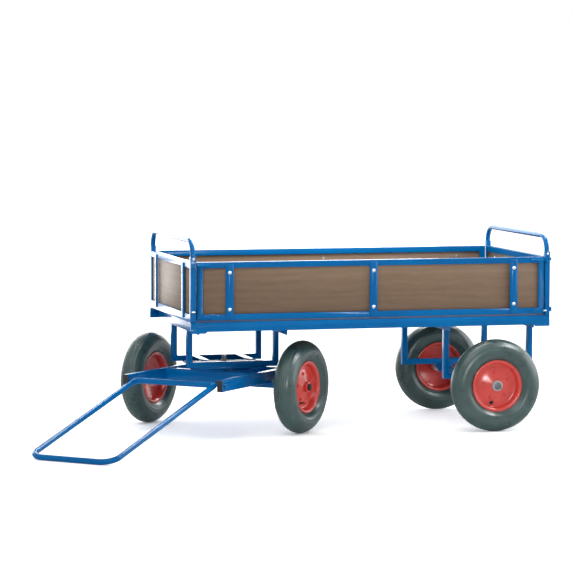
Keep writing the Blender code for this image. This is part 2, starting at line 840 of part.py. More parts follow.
def tyre_profile():
    """Flank and crown as one arc, then the beads that sit between the rim's flanges."""
    radius = TYRE_WIDTH / 2
    crown = []
    for step in range(CROWN_POINTS + 1):
        angle = math.radians(FLANK_ARC * (1 - 2 * step / CROWN_POINTS))
        crown.append((tyre_middle + radius * math.cos(angle), radius * math.sin(angle)))
    half = RIM_WIDTH / 2
    bead = [
        (RIM_RADIUS + 2 * RIM_SHEET, half - GAP),
        (RIM_RADIUS - RIM_SHEET / 2, half - 2 * RIM_SHEET - GAP),
        (BEAD_SEAT_RADIUS + GAP, half - 3 * RIM_SHEET - GAP),
    ]
    down = [(r, -h) for r, h in bead]
    up = [(r, h) for r, h in reversed(bead)]
    return crown + down + up


def rim_profile():
    """The pressed rim, its disc and the hub tube in one section; +height is the outer face."""
    bore = AXLE_RADIUS + PIN_PLAY
    hub = HUB_LENGTH / 2
    half = RIM_WIDTH / 2
    seat = BEAD_SEAT_RADIUS
    sheet = RIM_SHEET
    flange_outside = [(RIM_RADIUS - 4 * sheet, half - sheet / 3), (RIM_RADIUS - sheet, half)]
    flange_inside = [
        (RIM_RADIUS, half - sheet),
        (RIM_RADIUS - sheet / 2, half - 2 * sheet),
        (seat, half - 3 * sheet),
    ]
    barrel = half - 3 * sheet
    return [
        (bore, hub),
        (HUB_RADIUS, hub),
        (HUB_RADIUS, DISC_RISE),
        (DISC_STEP_RADIUS, (DISC_RISE + DISC_DISH) / 2),
        (BARREL_RADIUS - 4 * sheet, DISC_DISH - sheet),
        (BARREL_RADIUS - sheet, DISC_DISH + 2 * sheet),
        (BARREL_RADIUS, barrel),
        *flange_outside,
        *flange_inside,
        (seat - sheet, DISC_DISH),
        (seat - 2 * sheet, -DISC_DISH),
        *[(r, -h) for r, h in reversed(flange_inside)],
        *[(r, -h) for r, h in reversed(flange_outside)],
        (BARREL_RADIUS, -barrel),
        (BARREL_RADIUS - 2 * sheet, -sheet),
        (BARREL_RADIUS - 5 * sheet, DISC_DISH - 3 * sheet),
        (DISC_STEP_RADIUS, (DISC_RISE + DISC_DISH) / 2 - 2 * sheet),
        (HUB_RADIUS, DISC_RISE - 2 * sheet),
        (HUB_RADIUS, -hub),
        (bore, -hub),
    ]


def wheel(label, body):
    """A pneumatic wheel about the body's Y axis: the tyre, and the rim with disc and hub."""
    turned(f"tyre_{label}", body, "rubber", tyre_profile(), WHEEL_STEPS, True)
    turned(f"rim_{label}", body, "rim_paint", rim_profile(), WHEEL_STEPS, True)


def build():
    chassis = body_frame("chassis", None, (*DECK_MIDDLE, 0.0))
    deck_board(chassis)
    for label, side in (("left", 1), ("right", -1)):
        side_angle(label, chassis, side)
    for label, middle in (("front", KINGPIN_X), ("rear", REAR_AXLE_X)):
        for number, end in ((1, 1), (2, -1)):
            height = INNER_CROSS_HEIGHT if end * middle < 0 else OUTER_CROSS_HEIGHT
            name = f"cross_member_{label}_{number}"
            cross_member(name, chassis, leg_x(middle, end), height)
    for label, end in (("front", 1), ("rear", -1)):
        end_panel(label, chassis, end)
    front_support(chassis)
    rear_support(chassis)
    for label, side in (("left", 1), ("right", -1)):
        lifted = body_frame(f"side_{label}", chassis, (0.0, 0.0, 0.0))
        side_panel(label, lifted, side)
        hub = body_frame(
            f"wheel_rear_{label}",
            chassis,
            (REAR_AXLE_X, side * REAR_TRACK / 2, WHEEL_RADIUS),
            (0.0, 0.0, 0.0 if side > 0 else math.pi),
        )
        wheel(f"rear_{label}", hub)
    steering = body_frame(
        "steering", chassis, (KINGPIN_X, 0.0, 0.0), (0.0, 0.0, math.radians(STEER_ANGLE))
    )
    steered_frame(steering)
    for label, side in (("left", 1), ("right", -1)):
        hub = body_frame(
            f"wheel_front_{label}",
            steering,
            (0.0, side * FRONT_TRACK / 2, WHEEL_RADIUS),
            (0.0, 0.0, 0.0 if side > 0 else math.pi),
        )
        wheel(f"front_{label}", hub)
    bar = body_frame("drawbar_hinge", steering, (HINGE_X, 0.0, hinge_z), (0.0, bar_drop, 0.0))
    drawbar(bar)


build()
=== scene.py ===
# %% [markdown]
# # Dressing a turntable trolley
#
# The imported model already has every steel section, board, axle and wheel at its real size and
# place. This lesson gives them their finish: rounded and powder-coated steel, film-faced
# plywood, pneumatic tyres with a tread, pressed rims, bolts and weld beads.
#
# The frame is loaded first.

import json
import math

import bmesh
import bpy
from mathutils import Matrix, Vector


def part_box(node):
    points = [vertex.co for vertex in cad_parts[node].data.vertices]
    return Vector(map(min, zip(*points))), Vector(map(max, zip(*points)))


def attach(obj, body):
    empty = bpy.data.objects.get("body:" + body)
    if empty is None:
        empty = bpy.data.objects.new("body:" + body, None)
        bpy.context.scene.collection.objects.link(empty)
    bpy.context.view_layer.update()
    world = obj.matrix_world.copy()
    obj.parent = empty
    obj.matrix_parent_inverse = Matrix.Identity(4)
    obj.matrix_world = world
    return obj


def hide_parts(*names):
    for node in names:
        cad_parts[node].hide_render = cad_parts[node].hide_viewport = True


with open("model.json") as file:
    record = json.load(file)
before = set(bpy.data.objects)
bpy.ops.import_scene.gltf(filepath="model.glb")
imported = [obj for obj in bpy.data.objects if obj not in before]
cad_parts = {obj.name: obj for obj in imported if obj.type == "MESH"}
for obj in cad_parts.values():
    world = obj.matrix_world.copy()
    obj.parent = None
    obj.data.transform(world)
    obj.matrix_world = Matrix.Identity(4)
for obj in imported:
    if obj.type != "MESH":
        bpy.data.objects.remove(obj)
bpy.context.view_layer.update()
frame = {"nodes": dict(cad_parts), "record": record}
nodes = frame["nodes"]
bodies_of = {
    node: body
    for body, names in frame["record"]["behaviour"]["bodies"].items()
    for node in names
}

# %% [markdown]
# ## Where things are
#
# The record gives every joint a point and an axis. From those follow the middle of the deck,
# the kingpin, the direction in which the front axle is parked, and the four wheels. Reading them
# keeps this script in step with the model, where typed numbers would drift apart.

# %% Places from the joints
joints = {joint["name"]: joint for joint in frame["record"]["behaviour"]["joints"]}
kingpin = Vector(joints["steering_turn"]["pos_m"])
hinge = Vector(joints["drawbar_lift"]["pos_m"])
deck_low, deck_high = (Vector(corner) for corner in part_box("deck_board"))
deck_middle = (deck_low + deck_high) / 2
forward = Vector((hinge.x - kingpin.x, hinge.y - kingpin.y, 0.0)).normalized()
parked = Matrix.Rotation(math.atan2(forward.y, forward.x), 4, "Z")
wheels = {
    name[: -len("_spin")]: (Vector(joint["pos_m"]), Vector(joint["axis"]))
    for name, joint in joints.items()
    if name.endswith("_spin")
}
print("parked angle:", round(math.degrees(math.atan2(forward.y, forward.x)), 1), "degrees")
print("wheels:", sorted(wheels))


def deck_point(x, y, z):
    """A point given from the middle of the deck in plan, and from the floor in height."""
    return Vector((deck_middle.x + x, deck_middle.y + y, z))


# %% [markdown]
# ## Tools for materials
#
# Colours are written as the sRGB hex values that a colour picker shows on a photograph. Blender
# works in linear light, so one function turns them. Another adds a shader node with its settings
# and links in one call, which keeps each material short enough to read.

# %% Colour and node helpers
def linear(hex_colour):
    """Linear RGBA from an sRGB hex value such as #1a5fb0."""
    parts = [int(hex_colour[i : i + 2], 16) / 255 for i in (1, 3, 5)]
    light = [p / 12.92 if p <= 0.04045 else ((p + 0.055) / 1.055) ** 2.4 for p in parts]
    return (*light, 1.0)


def add(tree, kind, inputs=None, **settings):
    """Adds a node, sets its properties, then fills its inputs with values or links."""
    made = tree.nodes.new(kind)
    for key, value in settings.items():
        setattr(made, key, value)
    for key, value in (inputs or {}).items():
        if isinstance(value, bpy.types.NodeSocket):
            tree.links.new(value, made.inputs[key])
        else:
            made.inputs[key].default_value = value
    return made


def new_material(name, **constants):
    """A material with its node tree, its shader and a point in the piece's own space."""
    made = bpy.data.materials.new(name)
    made.use_nodes = True
    tree = made.node_tree
    shader = tree.nodes["Principled BSDF"]
    for key, value in constants.items():
        shader.inputs[key.replace("_", " ")].default_value = value
    place = add(tree, "ShaderNodeTexCoord").outputs["Object"]
    return made, tree, shader, place


def colour_between(tree, factor, low, high):
    """A colour that runs from low to high as the factor runs from 0 to 1."""
    mix = add(tree, "ShaderNodeMix", data_type="RGBA")
    tree.links.new(factor, mix.inputs["Factor"])
    mix.inputs["A"].default_value = linear(low)
    mix.inputs["B"].default_value = linear(high)
    return mix.outputs["Result"]


def spread(tree, value, low, high, to_low=0.0, to_high=1.0):
    """Stretches a value from one range to another, held inside the second."""
    source = {"Value": value, "From Min": low, "From Max": high}
    goal = {"To Min": to_low, "To Max": to_high}
    return add(tree, "ShaderNodeMapRange", source | goal).outputs["Result"]


def bump(tree, shader, height, depth_mm, strength=1.0):
    """Puts a height pattern on the surface, as deep as given in millimetres."""
    inputs = {"Height": height, "Distance": depth_mm / 1000, "Strength": strength}
    made = add(tree, "ShaderNodeBump", inputs)
    tree.links.new(made.outputs["Normal"], shader.inputs["Normal"])


def noise(tree, place, size_mm, detail=2.0, roughness=0.5, distortion=0.0):
    """Noise whose blotches are about as large as given in millimetres."""
    inputs = {
        "Vector": place,
        "Scale": 1000 / size_mm,
        "Detail": detail,
        "Roughness": roughness,
        "Distortion": distortion,
    }
    return add(tree, "ShaderNodeTexNoise", inputs).outputs["Fac"]


print("helpers ready")

# %% [markdown]
# ## Powder-coated steel
#
# The steelwork is powder-coated: dry paint dust melted to a thick, even, glossy skin. What the eye
# gets from it is a sharp highlight with a faint orange-peel waviness, edges that stay softly
# round, and a colour that is the same everywhere. The waves are drawn about 6 mm across, twice
# their real size, so that they show at all.

# %% Blue powder coat
def powder_coat(name, dark, plain, gloss):
    made, tree, shader, place = new_material(name, IOR=1.5, Specular_IOR_Level=0.11)
    cloud = noise(tree, place, 180, detail=3)
    colour = colour_between(tree, spread(tree, cloud, 0.3, 0.7), dark, plain)
    tree.links.new(colour, shader.inputs["Base Color"])
    smear = noise(tree, place, 60, detail=4, roughness=0.6)
    rough = spread(tree, smear, 0.35, 0.7, gloss, gloss + 0.08)
    tree.links.new(rough, shader.inputs["Roughness"])
    peel = noise(tree, place, 6, detail=1)
    bump(tree, shader, peel, 0.03, 0.5)
    return made


blue_coat = powder_coat("powder_coat_blue", "#0065a8", "#006fb2", 0.12)
print("made", blue_coat.name)

# %% [markdown]
# ## Red rims
#
# Pressed steel rims are dipped or sprayed with a plain red enamel, a little less even than the
# powder coat. Dust from the yard dulls the red in patches, where noise says so.

# %% Red rim enamel
def rim_enamel():
    made, tree, shader, place = new_material("rim_enamel_red", IOR=1.5)
    dust = noise(tree, place, 35, detail=5, roughness=0.65)
    colour = colour_between(tree, spread(tree, dust, 0.35, 0.75), "#da463d", "#c83e37")
    tree.links.new(colour, shader.inputs["Base Color"])
    tree.links.new(spread(tree, dust, 0.3, 0.7, 0.16, 0.28), shader.inputs["Roughness"])
    bump(tree, shader, noise(tree, place, 7, detail=1), 0.04, 0.4)
    return made


red_enamel = rim_enamel()
print("made", red_enamel.name)

# %% [markdown]
# ## Film-faced plywood
#
# The boards are birch plywood faced with a brown phenolic film. The film is smooth and half
# glossy, and the veneer's figure shows through it as long, faint, wavy bands. The bands run along
# the board. The edge shows the plies: thin layers of about 1.4 mm, light and dark in turn, in a
# dark blue-grey that is painted shade, for the shadowed line the board edges make between parts.

# %% Plywood face and edge
def film_faced_ply(name, dark, light, turn_z):
    made, tree, shader, place = new_material(name, IOR=1.48, Specular_IOR_Level=0.2)
    turned = add(tree, "ShaderNodeMapping", {"Vector": place, "Rotation": (0.0, 0.0, turn_z)})
    stretch = {0: turned.outputs[0], 1: (0.16, 1.0, 1.0)}
    along = add(tree, "ShaderNodeVectorMath", stretch, operation="MULTIPLY").outputs[0]
    figure = noise(tree, along, 16, detail=4, distortion=0.4)
    waves = {"Vector": along, "Scale": 9.0, "Distortion": 9.0, "Detail": 3.0, "Detail Scale": 1.2}
    rings = add(tree, "ShaderNodeTexWave", waves, wave_type="BANDS", bands_direction="Z")
    pores = noise(tree, along, 4, detail=4, roughness=0.7)
    faint = {0: rings.outputs["Fac"], 1: 0.3, 2: figure}
    mixed = add(tree, "ShaderNodeMath", faint, operation="MULTIPLY_ADD")
    mixed = add(tree, "ShaderNodeMath", {0: mixed.outputs[0], 1: pores}, operation="ADD")
    colour = colour_between(tree, spread(tree, mixed.outputs[0], 0.8, 1.5), dark, light)
    tree.links.new(colour, shader.inputs["Base Color"])
    rough = spread(tree, pores, 0.3, 0.7, 0.44, 0.56)
    tree.links.new(rough, shader.inputs["Roughness"])
    bump(tree, shader, pores, 0.05, 0.4)
    return made


VENEER = 0.0014  # thickness of one ply


def ply_edge(name):
    made, tree, shader, place = new_material(name, Roughness=0.7)
    height = add(tree, "ShaderNodeSeparateXYZ", {0: place}).outputs["Z"]
    layer = add(tree, "ShaderNodeMath", {0: height, 1: 2 * VENEER}, operation="MODULO")
    stripe = spread(tree, layer.outputs[0], VENEER - 0.0002, VENEER + 0.0002)
    fibre = noise(tree, place, 3, detail=5, roughness=0.7)
    soft = add(tree, "ShaderNodeMath", {0: stripe, 1: fibre}, operation="MULTIPLY")
    # dark blue-grey edge colour: painted shade for the shadowed line of the board edges
    colour = colour_between(tree, soft.outputs[0], "#4a5878", "#66708a")
    tree.links.new(colour, shader.inputs["Base Color"])
    bump(tree, shader, fibre, 0.15, 0.6)
    return made


ply_sides = film_faced_ply("film_faced_ply_sides", "#7a6450", "#866e5a", 0.0)
ply_ends = film_faced_ply("film_faced_ply_ends", "#776554", "#85725f", math.pi / 2)
ply_deck = film_faced_ply("film_faced_ply_deck", "#5d4a3d", "#6c5848", 0.0)
# edge material with painted shade: the board edges are darkened to a shadowed line
ply_edges_painted_shade = ply_edge("ply_edge_painted_shade")
print("made", ply_sides.name, ply_ends.name, ply_deck.name, ply_edges_painted_shade.name)

# %% [markdown]
# ## Tyre rubber, zinc and plastic
#
# Tyre rubber is black with a grey bloom: fine wax and dust that sits on the flanks and scatters
# light softly. Bolts and nuts are zinc plated, a bright blue-grey with small cloudy patches. The
# tube plugs and valve stems are plain moulded black plastic and rubber. The front axle's ends are
# nearly black: painted shade for the dark bore in the middle of the front hubs. The rear hubs are
# grey with primer.

# %% Rubber, zinc, plastic and axle steel
def tyre_rubber():
    made, tree, shader, place = new_material("tyre_rubber_bloomed", IOR=1.52)
    bloom = noise(tree, place, 60, detail=2)
    colour = colour_between(tree, spread(tree, bloom, 0.25, 0.75), "#2c4240", "#3c5755")
    tree.links.new(colour, shader.inputs["Base Color"])
    tree.links.new(spread(tree, bloom, 0.3, 0.7, 0.26, 0.36), shader.inputs["Roughness"])
    bump(tree, shader, noise(tree, place, 7, detail=1), 0.05, 0.3)
    return made


def zinc_plate(name, light, dark, rough_low):
    made, tree, shader, place = new_material(name, Metallic=1.0)
    cloud = noise(tree, place, 5, detail=3)
    colour = colour_between(tree, cloud, dark, light)
    tree.links.new(colour, shader.inputs["Base Color"])
    rough = spread(tree, cloud, 0.3, 0.7, rough_low, rough_low + 0.15)
    tree.links.new(rough, shader.inputs["Roughness"])
    bump(tree, shader, noise(tree, place, 0.9), 0.03, 0.4)
    return made


def moulded(name, dark, light, rough):
    made, tree, shader, place = new_material(name, IOR=1.5)
    grain = noise(tree, place, 1.2, detail=2)
    colour = colour_between(tree, noise(tree, place, 14, detail=3), dark, light)
    tree.links.new(colour, shader.inputs["Base Color"])
    uneven = spread(tree, grain, 0.3, 0.7, rough, rough + 0.12)
    tree.links.new(uneven, shader.inputs["Roughness"])
    bump(tree, shader, grain, 0.05, 0.4)
    return made


rubber = tyre_rubber()
zinc = zinc_plate("zinc_plated_steel", "#cfd9e0", "#adb9c1", 0.22)
dark_steel = zinc_plate("oiled_dark_steel", "#70767a", "#4b5054", 0.35)
# near-black steel for the front axle ends: painted shade for the dark bore of the front hubs
bore_shade_steel = zinc_plate("black_oxide_steel", "#24282a", "#15181a", 0.35)
hub_grey = moulded("hub_primer_grey", "#a2a9ab", "#b8bdbf", 0.40)
black_plastic = moulded("moulded_black_plastic", "#141618", "#202326", 0.42)
valve_rubber = moulded("valve_stem_rubber", "#101112", "#1b1c1d", 0.50)
print("made", rubber.name, zinc.name, hub_grey.name, black_plastic.name)

# %% [markdown]
# ## Tools for pieces
#
# A finished piece is one mesh at the origin, with its place in its own points. `keep` makes such an
# object, gives it a material, says which body it moves with, and hides the model nodes it stands
# for.
# `softened` copies a model node, welds its loose triangles, and rounds its edges as a rolled or
# coated section really is: a sharp edge catches no light, and rounded edges are most of what makes
# steel look like steel.

# %% Piece helpers
def keep(name, mesh, material, body, stands_for=()):
    """A finished piece from a mesh whose points are already in place."""
    made = bpy.data.objects.new(name, mesh)
    bpy.context.scene.collection.objects.link(made)
    if material is not None:
        mesh.materials.clear()
        mesh.materials.append(material)
    if stands_for:
        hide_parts(*stands_for)
    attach(made, body)
    return made


def evaluated_mesh(obj, name):
    """A plain mesh of an object with its modifiers applied."""
    graph = bpy.context.evaluated_depsgraph_get()
    mesh = bpy.data.meshes.new_from_object(obj.evaluated_get(graph))
    mesh.name = name
    return mesh


def smooth(mesh, sharp_from=50.0):
    """Smooth shading, with edges that stay sharp from an angle on, in degrees."""
    mesh.shade_smooth()
    mesh.set_sharp_from_angle(angle=math.radians(sharp_from))
    return mesh


def mesh_from(shape, name):
    """A mesh with the contents of a bmesh, which is freed."""
    mesh = bpy.data.meshes.new(name)
    shape.to_mesh(mesh)
    shape.free()
    return mesh


def softened(node, width, segments=2, angle=30.0, windows=False):
    """A welded copy of a model node with rounded edges, as a mesh.

    Flat triangles are joined to one face first, but not where a face has windows in it.
    """
    shape = bmesh.new()
    shape.from_mesh(nodes[node].data)
    bmesh.ops.remove_doubles(shape, verts=shape.verts, dist=1e-5)
    if not windows:
        bmesh.ops.dissolve_limit(
            shape, angle_limit=math.radians(1.0), verts=shape.verts, edges=shape.edges
        )
    helper = bpy.data.objects.new("edge_helper", mesh_from(shape, f"{node}_finish"))
    bpy.context.scene.collection.objects.link(helper)
    edge = helper.modifiers.new("edge", "BEVEL")
    edge.width = width
    edge.segments = segments
    edge.limit_method = "ANGLE"
    edge.angle_limit = math.radians(angle)
    edge.use_clamp_overlap = True
    edge.harden_normals = False
    bpy.context.view_layer.update()
    done = evaluated_mesh(helper, f"{node}_finish")
    bpy.data.objects.remove(helper, do_unlink=True)
    return smooth(done)


print("piece helpers ready")

# %% [markdown]
# ## The steelwork
#
# Every steel node gets rounded edges and the blue coat. The axles' round ends, beyond the square
# bar, are left as bare steel, because paint would not last in a hub. The front ones are nearly
# black: painted shade for the dark bore in the middle of the front hubs.

# %% Coat the steel
tube_like = [
    "cross_member_front_1",
    "cross_member_front_2",
    "cross_member_rear_1",
    "cross_member_rear_2",
    "steering_member_left",
    "steering_member_right",
    "steering_tie_front",
    "steering_tie_rear",
]
flat_like = [
    "side_angle_left",
    "side_angle_right",
    "end_frame_front",
    "end_frame_rear",
    "side_frame_left",
    "side_frame_right",
    "tie_flat_front",
    "tie_flat_rear",
    "turntable_top_plate",
    "turntable_lower_plate",
    "front_support_left",
    "front_support_right",
    "rear_support_left",
    "rear_support_right",
]
TUBE_EDGE = 0.0008
FLAT_EDGE = 0.0007
for node in tube_like + flat_like:
    width = TUBE_EDGE if node in tube_like else FLAT_EDGE
    mesh = softened(node, width, windows="frame" in node or "angle" in node)
    keep(f"{node}_coated", mesh, blue_coat, bodies_of[node], [node])
for node, name, finish, slot_name in (
    ("kingpin", "kingpin_plated", dark_steel, "zinc_steel"),
    ("drawbar_pivot", "drawbar_pivot_coated", blue_coat, "blue_paint"),
):
    keep(name, softened(node, TUBE_EDGE), finish, bodies_of[node], [node])
print("coated", len(tube_like) + len(flat_like), "steel pieces, the kingpin and the pivot rod")

# %% Axles and plugs
JOURNAL_INSET = 0.045  # from the wheel's middle in to where the axle's round end starts
PLUG_EDGE = 0.0012
for node, end, end_finish in (
    # front ends in near-black: painted shade for the dark bore of the front hubs
    ("front_axle", "wheel_front_left", bore_shade_steel),
    ("rear_axle", "wheel_rear_left", dark_steel),
):
    mesh = softened(node, FLAT_EDGE)
    mesh.materials.clear()
    mesh.materials.append(blue_coat)
    mesh.materials.append(end_finish)
    wheel_place, axis = wheels[end]
    other_place = wheels[end.replace("left", "right")][0]
    middle = (wheel_place + other_place) / 2
    journal = (wheel_place - middle).length - JOURNAL_INSET
    for face in mesh.polygons:
        from_middle = abs((face.center - middle).dot(axis.normalized()))
        face.material_index = 1 if from_middle > journal else 0
    keep(f"{node}_coated", mesh, None, bodies_of[node], [node])
for node in ("end_plug_left", "end_plug_right"):
    mesh = softened(node, PLUG_EDGE)
    keep(f"{node}_moulded", mesh, black_plastic, bodies_of[node], [node])
print("finished two axles and two plugs")

# %% [markdown]
# ## Round tube
#
# The hoops and the drawbar are bent from round tube. The model's tubes have few sides, so each one
# is swept again here as a curve with many more: the middle line is a polyline with arcs at its
# corners, taken from the model's own extents, and the curve's bevel is the tube.

# %% Sweep the bent tubes
ARC_STEPS = 14
HOOP_BEND = 0.065
BAR_RADIUS = 0.0125


def bent_line(corners, bends):
    """Points of a polyline whose corners are bent to the given radii."""
    line = []
    for i, corner in enumerate(corners):
        here = Vector(corner)
        if bends[i] == 0.0:
            line.append(here)
            continue
        before = (Vector(corners[i - 1]) - here).normalized()
        after = (Vector(corners[(i + 1) % len(corners)]) - here).normalized()
        half = before.angle(after) / 2
        middle = here + (before + after).normalized() * (bends[i] / math.sin(half))
        start = here + before * (bends[i] / math.tan(half)) - middle
        end = here + after * (bends[i] / math.tan(half)) - middle
        first, last = start.normalized(), end.normalized()
        arc = [first.slerp(last, step / ARC_STEPS) for step in range(ARC_STEPS + 1)]
        line += [middle + spoke * start.length for spoke in arc]
    return line


def swept_tube(name, line, radius, cyclic):
    curve = bpy.data.curves.new(name, "CURVE")
    curve.dimensions = "3D"
    curve.bevel_depth = radius
    curve.bevel_resolution = 6
    curve.use_fill_caps = not cyclic
    spline = curve.splines.new("POLY")
    spline.points.add(len(line) - 1)
    for point, co in zip(spline.points, line):
        point.co = (*co, 1.0)
    spline.use_cyclic_u = cyclic
    helper = bpy.data.objects.new("tube_helper", curve)
    bpy.context.scene.collection.objects.link(helper)
    bpy.context.view_layer.update()
    mesh = evaluated_mesh(helper, name)
    bpy.data.objects.remove(helper, do_unlink=True)
    return smooth(mesh)


def hoop_mesh(node):
    low, high = (Vector(c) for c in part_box(node))
    radius = (high.x - low.x) / 2
    x = (low.x + high.x) / 2
    side = (low.y + radius, high.y - radius)
    top = high.z - radius
    corners = [(x, side[0], low.z), (x, side[0], top), (x, side[1], top), (x, side[1], low.z)]
    line = bent_line(corners, (0.0, HOOP_BEND, HOOP_BEND, 0.0))
    return swept_tube(f"{node}_tube", line, radius, False)


def drawbar_mesh(bend=0.060, hinge_bend=0.016, radius=0.0124):
    """The drawbar's hoop, swept in its own plane: out along the bar, and across it."""
    level = parked.inverted()
    bar = nodes["drawbar"]
    points = [level @ (bar.matrix_world @ vertex.co - hinge) for vertex in bar.data.vertices]
    half = max(point.y for point in points) - BAR_RADIUS
    lowest = min(point.z for point in points) + BAR_RADIUS
    reach = max(point.x for point in points) - BAR_RADIUS
    corners = [(0, half, 0), (reach, half, lowest), (reach, -half, lowest), (0, -half, 0)]
    line = bent_line(corners, (hinge_bend, bend, bend, hinge_bend))
    mesh = swept_tube("drawbar_tube", line, radius, True)
    mesh.transform(Matrix.Translation(hinge) @ parked)
    return mesh


for node in ("hoop_front", "hoop_rear"):
    keep(f"{node}_coated", hoop_mesh(node), blue_coat, bodies_of[node], [node])
keep("drawbar_coated", drawbar_mesh(), blue_coat, bodies_of["drawbar"], ["drawbar"])
print("swept two hoops and the drawbar")

# %% [markdown]
# ## Boards
#
# A board keeps the model's own solid, with a touch of rounding at its edges. Its big faces get the
# film, and its narrow faces show the plies in painted shade, so each face is given its slot by
# where it points.

# %% Film on the faces, plies on the edges
BOARD_EDGE = 0.0006


def board(node, face_material, thin_axis):
    mesh = softened(node, BOARD_EDGE, segments=1)
    mesh.materials.clear()
    mesh.materials.append(face_material)
    mesh.materials.append(ply_edges_painted_shade)
    for face in mesh.polygons:
        face.material_index = 0 if abs(face.normal[thin_axis]) > 0.6 else 1
    return keep(f"{node}_faced", mesh, None, bodies_of[node], [node])


board("deck_board", ply_deck, 2)
for label in ("left", "right"):
    board(f"side_board_{label}", ply_sides, 1)
for label in ("front", "rear"):
    board(f"end_board_{label}", ply_ends, 0)
print("boards faced")

# %% [markdown]
# ## Turned shapes
#
# Tyres, rims and hubs are turned shapes: one section, swept round the axle. The section is written
# as radius and height over the wheel's middle plane, in millimetres, and a spin makes the rest.
# `stand` then lays the wheel's own axis along the axle, with its outer face pointing out.

# %% Spin a section
def spun(name, section_mm, steps, closed=True, smooth_angle=40.0):
    """A mesh turned about Z from (radius, height) points in millimetres."""
    shape = bmesh.new()
    points = [shape.verts.new((r / 1000, 0.0, h / 1000)) for r, h in section_mm]
    edges = [shape.edges.new(pair) for pair in zip(points, points[1:])]
    if closed:
        edges.append(shape.edges.new((points[-1], points[0])))
    bmesh.ops.spin(
        shape,
        geom=shape.verts[:] + shape.edges[:],
        cent=(0, 0, 0),
        axis=(0, 0, 1),
        dvec=(0, 0, 0),
        angle=2 * math.pi,
        steps=steps,
        use_merge=True,
    )
    bmesh.ops.remove_doubles(shape, verts=shape.verts, dist=1e-6)
    bmesh.ops.recalc_face_normals(shape, faces=shape.faces)
    return smooth(mesh_from(shape, name), smooth_angle)


def stand(wheel):
    """The matrix that lays local Z along a wheel's axle, outwards, at the wheel's middle."""
    place, axis = wheels[wheel]
    outward = axis.normalized() * (1 if wheel.endswith("left") else -1)
    up = Vector((0, 0, 1))
    side = up.cross(outward).normalized()
    turn = Matrix((side, up, outward)).transposed().to_4x4()
    return Matrix.Translation(place) @ turn


print("spin ready")

# %% [markdown]
# ## Tyres
#
# The tyre is a small pneumatic one, 400 mm over the tread and 100 mm wide. Its flank is a plain
# bulge with two raised ribs, the bead beds into the rim, and grooves part the tread into ribs that
# run round it. The grooves are cut into the section before it is spun, so they are real ones.

# %% Tyre section
TYRE_HALF = 50.5  # lengths in millimetres, angles in degrees from the crown's middle
TYRE_CENTRE = 149.5
FLANK_ARC = 112.0
FLANK_STEPS = 124
GROOVES = (0.0, 13.0, 26.0)
GROOVE_HALF = 1.8
GROOVE_DEPTH = 1.2
CROWN_HALF = 42.0
FLANK_RIBS = ((84.0, 3.0), (101.0, 2.4))
RIB_HEIGHT = 0.6


def tyre_section():
    """Flanks as arcs with two ribs each and a crown with five grooves, as a closed section."""
    points = []
    for i in range(FLANK_STEPS + 1):
        angle = FLANK_ARC * (1 - 2 * i / FLANK_STEPS)
        in_groove = any(abs(abs(angle) - groove) < GROOVE_HALF for groove in GROOVES)
        on_rib = any(abs(abs(angle) - rib) < half for rib, half in FLANK_RIBS)
        depth = -GROOVE_DEPTH if in_groove else 0.0
        raised = 0.0 if on_rib or abs(angle) < CROWN_HALF else -RIB_HEIGHT
        reach = TYRE_HALF + depth + raised
        turn = math.radians(angle)
        points.append((TYRE_CENTRE + reach * math.cos(turn), reach * math.sin(turn)))
    bead = [(120.5, 38.5), (116.8, 33.6), (111.3, 29.5), (104.0, 27.3)]
    down = [(r, -h) for r, h in bead]
    up = [(r, h) for r, h in reversed(bead)]
    return points + down + up


tyre_mesh = spun("tyre_form", tyre_section(), 96, smooth_angle=60.0)
for wheel in wheels:
    mesh = tyre_mesh.copy()
    mesh.transform(stand(wheel))
    node = wheel.replace("wheel_", "tyre_")
    keep(f"{node}_treaded", mesh, rubber, wheel, [node])
print("tyre triangles:", sum(len(p.vertices) - 2 for p in tyre_mesh.polygons))

# %% [markdown]
# ## Rims
#
# The rim is two pressed dishes of sheet steel. Seen from outside there is a rolled lip, a short
# barrel going in, a shoulder, and then the disc, which rises as a low cone to the hub. Rolled sheet
# has no sharp edge, so the section turns each corner in two or three points. The front wheels' hubs
# are red like their rims, and the rear ones are grey.

# %% Rim section and hub
def rim_section():
    """The pressed sheet from the outer lip to the hub and back, in millimetres."""
    outside = [
        (22.2, 23.6),
        (30.0, 20.9),
        (46.0, 15.8),
        (60.0, 12.0),
        (74.0, 8.6),
        (84.0, 7.6),
        (88.5, 8.2),
        (91.5, 9.5),
        (94.5, 15.5),
        (96.4, 25.5),
        (98.6, 30.0),
        (102.5, 33.0),
        (107.5, 34.1),
        (110.6, 33.9),
        (112.2, 32.8),
        (112.0, 31.2),
        (110.2, 30.3),
    ]
    seat = [
        (106.5, 29.3),
        (103.6, 27.0),
        (101.5, 8.0),
        (99.3, -7.0),
        (103.6, -27.0),
        (110.4, -30.4),
    ]
    inside = [
        (112.2, -32.6),
        (109.5, -34.1),
        (103.0, -33.0),
        (98.0, -28.0),
        (93.5, -3.0),
        (86.0, 2.6),
        (50.0, 10.4),
        (22.2, 19.4),
    ]
    return outside + seat + inside


